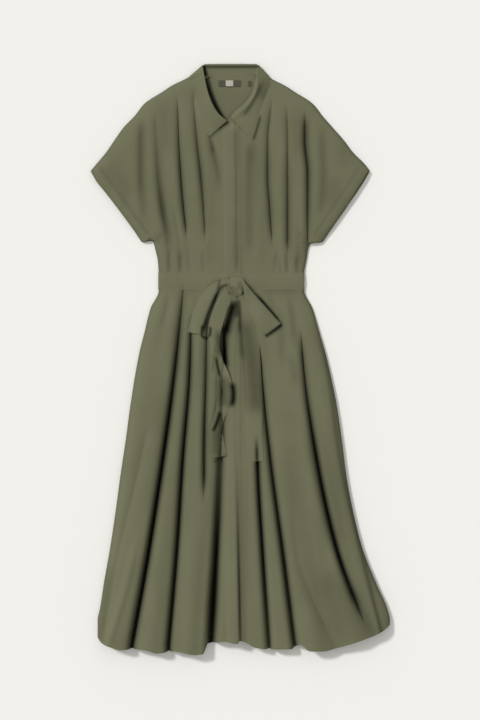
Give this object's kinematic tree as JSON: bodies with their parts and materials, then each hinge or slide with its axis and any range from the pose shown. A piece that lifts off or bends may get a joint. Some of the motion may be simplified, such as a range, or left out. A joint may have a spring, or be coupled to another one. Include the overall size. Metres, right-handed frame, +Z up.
{
  "type": "shirt dress",
  "caption": "Belted midi shirt dress in olive twill, laid flat, with a pointed collar, short grown-on sleeves, a covered button band and a tied bow at the waist.",
  "frame": {"origin": "middle of the laid dress's outline, on the surface it lies on", "axes": "+X to the viewer's right across the dress, +Y from hem to collar, +Z up out of the surface, from the back to the front of the dress"},
  "size_m": [0.6136, 1.2078, 0.0323],
  "materials": {
    "dress_cloth": "matte soft drapey twill in olive green",
    "label_tape": "matte dark woven label tape",
    "label_patch": "plain pale woven patch with no lettering"
  },
  "bodies": {
    "root": {"bodice_back": "dress_cloth", "bodice_front_left": "dress_cloth", "bodice_front_right": "dress_cloth", "skirt_back": "dress_cloth", "skirt_front_left": "dress_cloth", "skirt_front_right": "dress_cloth", "placket": "dress_cloth", "collar_stand": "dress_cloth", "collar_leaf": "dress_cloth", "belt_back": "dress_cloth", "belt_front": "dress_cloth", "belt_knot": "dress_cloth", "bow_loop_left": "dress_cloth", "bow_loop_right": "dress_cloth", "tie_tail_left": "dress_cloth", "tie_tail_right": "dress_cloth", "neck_label": "label_tape", "label_patch": "label_patch", "size_tab": "label_tape"}
  },
  "joints": []
}
